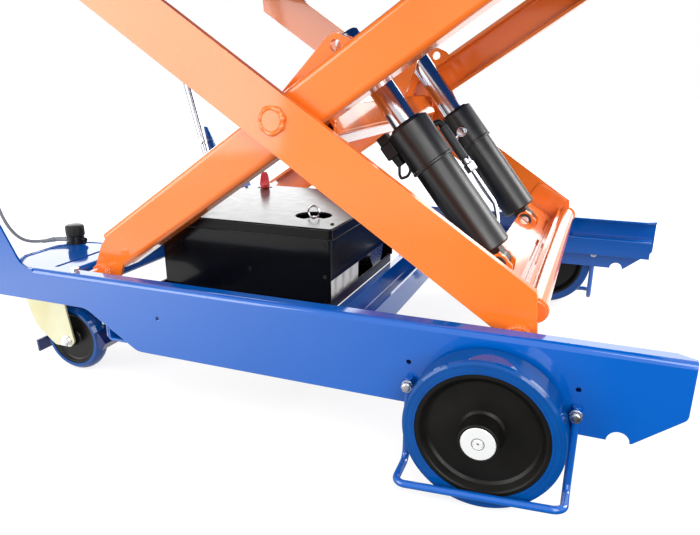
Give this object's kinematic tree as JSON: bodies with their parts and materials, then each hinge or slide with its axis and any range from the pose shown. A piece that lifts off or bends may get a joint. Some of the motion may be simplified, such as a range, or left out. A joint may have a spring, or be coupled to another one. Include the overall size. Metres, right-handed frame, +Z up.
{
  "type": "mobile lift table",
  "caption": "Powered scissor lift table with platform raised: folded chassis on fixed wheels and braked swivel casters, twin cylinders, battery power unit and push handle.",
  "frame": {"origin": "on the floor under the middle of the bounding box", "axes": "+X to the front wheels, +Y to the left, +Z up"},
  "size_m": [1.3069, 0.9114, 0.941],
  "materials": {
    "blue_paint": "gloss",
    "orange_paint": "satin",
    "blue_tyre": "satin",
    "black_plastic": "satin",
    "black_paint": "gloss",
    "yellow_zinc": "plated",
    "steel": "plated",
    "stainless": "polished",
    "chrome": "polished",
    "battery_grey": "satin",
    "red_plastic": "gloss",
    "green_plastic": "gloss",
    "black_rubber": "matt",
    "cable_grey": "satin",
    "navy_paint": "satin"
  },
  "bodies": {
    "chassis": {"side_rail_right": "blue_paint", "side_rail_left": "blue_paint", "roller_tracks": "blue_paint", "rear_beam": "blue_paint", "tray_beam": "blue_paint", "centre_beam": "blue_paint", "caster_decks": "blue_paint", "caster_heads": "yellow_zinc", "front_axle": "steel", "axle_caps": "steel", "foot_guards": "blue_paint", "frame_bolts": "steel", "push_handle": "stainless", "control_box": "black_plastic", "power_tray": "black_paint", "power_cover": "black_paint", "power_lid": "black_paint", "battery": "battery_grey", "pump_unit": "steel", "isolator_switch": "black_plastic", "filler_cap": "steel", "deck_connector": "black_plastic", "control_cable": "cable_grey", "cable_clips": "black_plastic"},
    "inner_arms": {"inner_arm_right": "orange_paint", "inner_arm_left": "orange_paint", "torsion_beam": "orange_paint"},
    "outer_arms": {"outer_arm_right": "orange_paint", "outer_arm_left": "orange_paint", "cross_plate": "orange_paint", "front_tube": "orange_paint", "centre_pins": "orange_paint", "cylinder_pins": "steel"},
    "platform": {"platform_top": "blue_paint", "platform_tracks": "blue_paint", "platform_hinges": "blue_paint"},
    "lower_rollers": {"lower_rollers": "steel"},
    "upper_rollers": {"upper_rollers": "steel"},
    "cylinder_barrels": {"cylinder_barrel_right": "black_paint", "cylinder_barrel_left": "black_paint", "hose_line": "black_rubber", "steel_line": "chrome"},
    "cylinder_rods": {"cylinder_rod_right": "chrome", "cylinder_rod_left": "chrome"},
    "wheel_right": {"wheel_tyre_right": "blue_tyre", "wheel_centre_right": "black_plastic"},
    "wheel_left": {"wheel_tyre_left": "blue_tyre", "wheel_centre_left": "black_plastic"},
    "caster_right": {"caster_fork_right": "yellow_zinc"},
    "caster_left": {"caster_fork_left": "yellow_zinc"},
    "caster_wheel_right": {"caster_tyre_right": "blue_tyre", "caster_core_right": "black_plastic"},
    "caster_wheel_left": {"caster_tyre_left": "blue_tyre", "caster_core_left": "black_plastic"},
    "brake_right": {"brake_pedal_right": "navy_paint"},
    "brake_left": {"brake_pedal_left": "navy_paint"},
    "isolator_key": {"isolator_key": "red_plastic"},
    "pull_ring": {"pull_ring": "chrome"},
    "button_up": {"button_up": "green_plastic"},
    "button_down": {"button_down": "red_plastic"}
  },
  "joints": [
    {"name": "scissor_lift", "type": "hinge", "parent": "chassis", "child": "inner_arms", "pos_m": [-0.25935, 0, 0.192], "axis": [0, -1, 0], "range_deg": [-27.5, 4.5]},
    {"name": "scissor_crossing", "type": "hinge", "parent": "inner_arms", "child": "outer_arms", "pos_m": [0.086, 0, 0.45699], "axis": [0, -1, 0], "range_deg": [-9.1, 55.1]},
    {"name": "platform_hinge", "type": "hinge", "parent": "outer_arms", "child": "platform", "pos_m": [-0.25935, 0, 0.72199], "axis": [0, -1, 0], "range_deg": [-27.6, 4.6]},
    {"name": "cylinder_swing", "type": "hinge", "parent": "outer_arms", "child": "cylinder_barrels", "pos_m": [0.37864, 0, 0.24628], "axis": [0, -1, 0], "range_deg": [-0.2, 0.6]},
    {"name": "rod_slide", "type": "slide", "parent": "cylinder_barrels", "child": "cylinder_rods", "axis": [-0.6165, 0, 0.7874], "range_m": [-0.1025, 0.0172]},
    {"name": "lower_roller_turn", "type": "hinge", "parent": "outer_arms", "child": "lower_rollers", "pos_m": [0.43135, 0, 0.192], "axis": [0, 1, 0], "continuous": true},
    {"name": "upper_roller_turn", "type": "hinge", "parent": "inner_arms", "child": "upper_rollers", "pos_m": [0.43135, 0, 0.72199], "axis": [0, 1, 0], "continuous": true},
    {"name": "isolator_turn", "type": "hinge", "parent": "chassis", "child": "isolator_key", "pos_m": [-0.144, 0.055, 0.29], "axis": [0, 0, 1], "range_deg": [0, 90]},
    {"name": "ring_swing", "type": "hinge", "parent": "chassis", "child": "pull_ring", "pos_m": [0.066, -0.162, 0.287], "axis": [1, 0, 0], "range_deg": [-65, 65]},
    {"name": "button_up_press", "type": "slide", "parent": "chassis", "child": "button_up", "axis": [0.9703, 0, 0.2419], "range_m": [0, 0.0025], "stiffness_N_per_m": 600, "springref_m": -0.001},
    {"name": "button_down_press", "type": "slide", "parent": "chassis", "child": "button_down", "axis": [0.9703, 0, 0.2419], "range_m": [0, 0.0025], "stiffness_N_per_m": 600, "springref_m": -0.001},
    {"name": "wheel_right_roll", "type": "hinge", "parent": "chassis", "child": "wheel_right", "pos_m": [0.4085, -0.417, 0.1], "axis": [0, 1, 0], "continuous": true},
    {"name": "caster_right_swivel", "type": "hinge", "parent": "chassis", "child": "caster_right", "pos_m": [-0.381, -0.303, 0.15], "axis": [0, 0, 1], "continuous": true},
    {"name": "caster_right_roll", "type": "hinge", "parent": "caster_right", "child": "caster_wheel_right", "pos_m": [-0.349, -0.303, 0.0625], "axis": [0, 1, 0], "continuous": true},
    {"name": "brake_right_rock", "type": "hinge", "parent": "caster_right", "child": "brake_right", "pos_m": [-0.349, -0.303, 0.0625], "axis": [0, 1, 0], "range_deg": [-8, 8]},
    {"name": "wheel_left_roll", "type": "hinge", "parent": "chassis", "child": "wheel_left", "pos_m": [0.4085, 0.417, 0.1], "axis": [0, 1, 0], "continuous": true},
    {"name": "caster_left_swivel", "type": "hinge", "parent": "chassis", "child": "caster_left", "pos_m": [-0.381, 0.303, 0.15], "axis": [0, 0, 1], "continuous": true},
    {"name": "caster_left_roll", "type": "hinge", "parent": "caster_left", "child": "caster_wheel_left", "pos_m": [-0.349, 0.303, 0.0625], "axis": [0, 1, 0], "continuous": true},
    {"name": "brake_left_rock", "type": "hinge", "parent": "caster_left", "child": "brake_left", "pos_m": [-0.349, 0.303, 0.0625], "axis": [0, 1, 0], "range_deg": [-8, 8]}
  ],
  "couplings": [
    {"joint": "scissor_crossing", "follows": "scissor_lift", "ratio": -2},
    {"joint": "platform_hinge", "follows": "scissor_lift", "ratio": 1},
    {"joint": "cylinder_swing", "follows": "scissor_lift", "ratio": -0.02},
    {"joint": "rod_slide", "follows": "scissor_lift", "m_per_rad": 0.212}
  ]
}
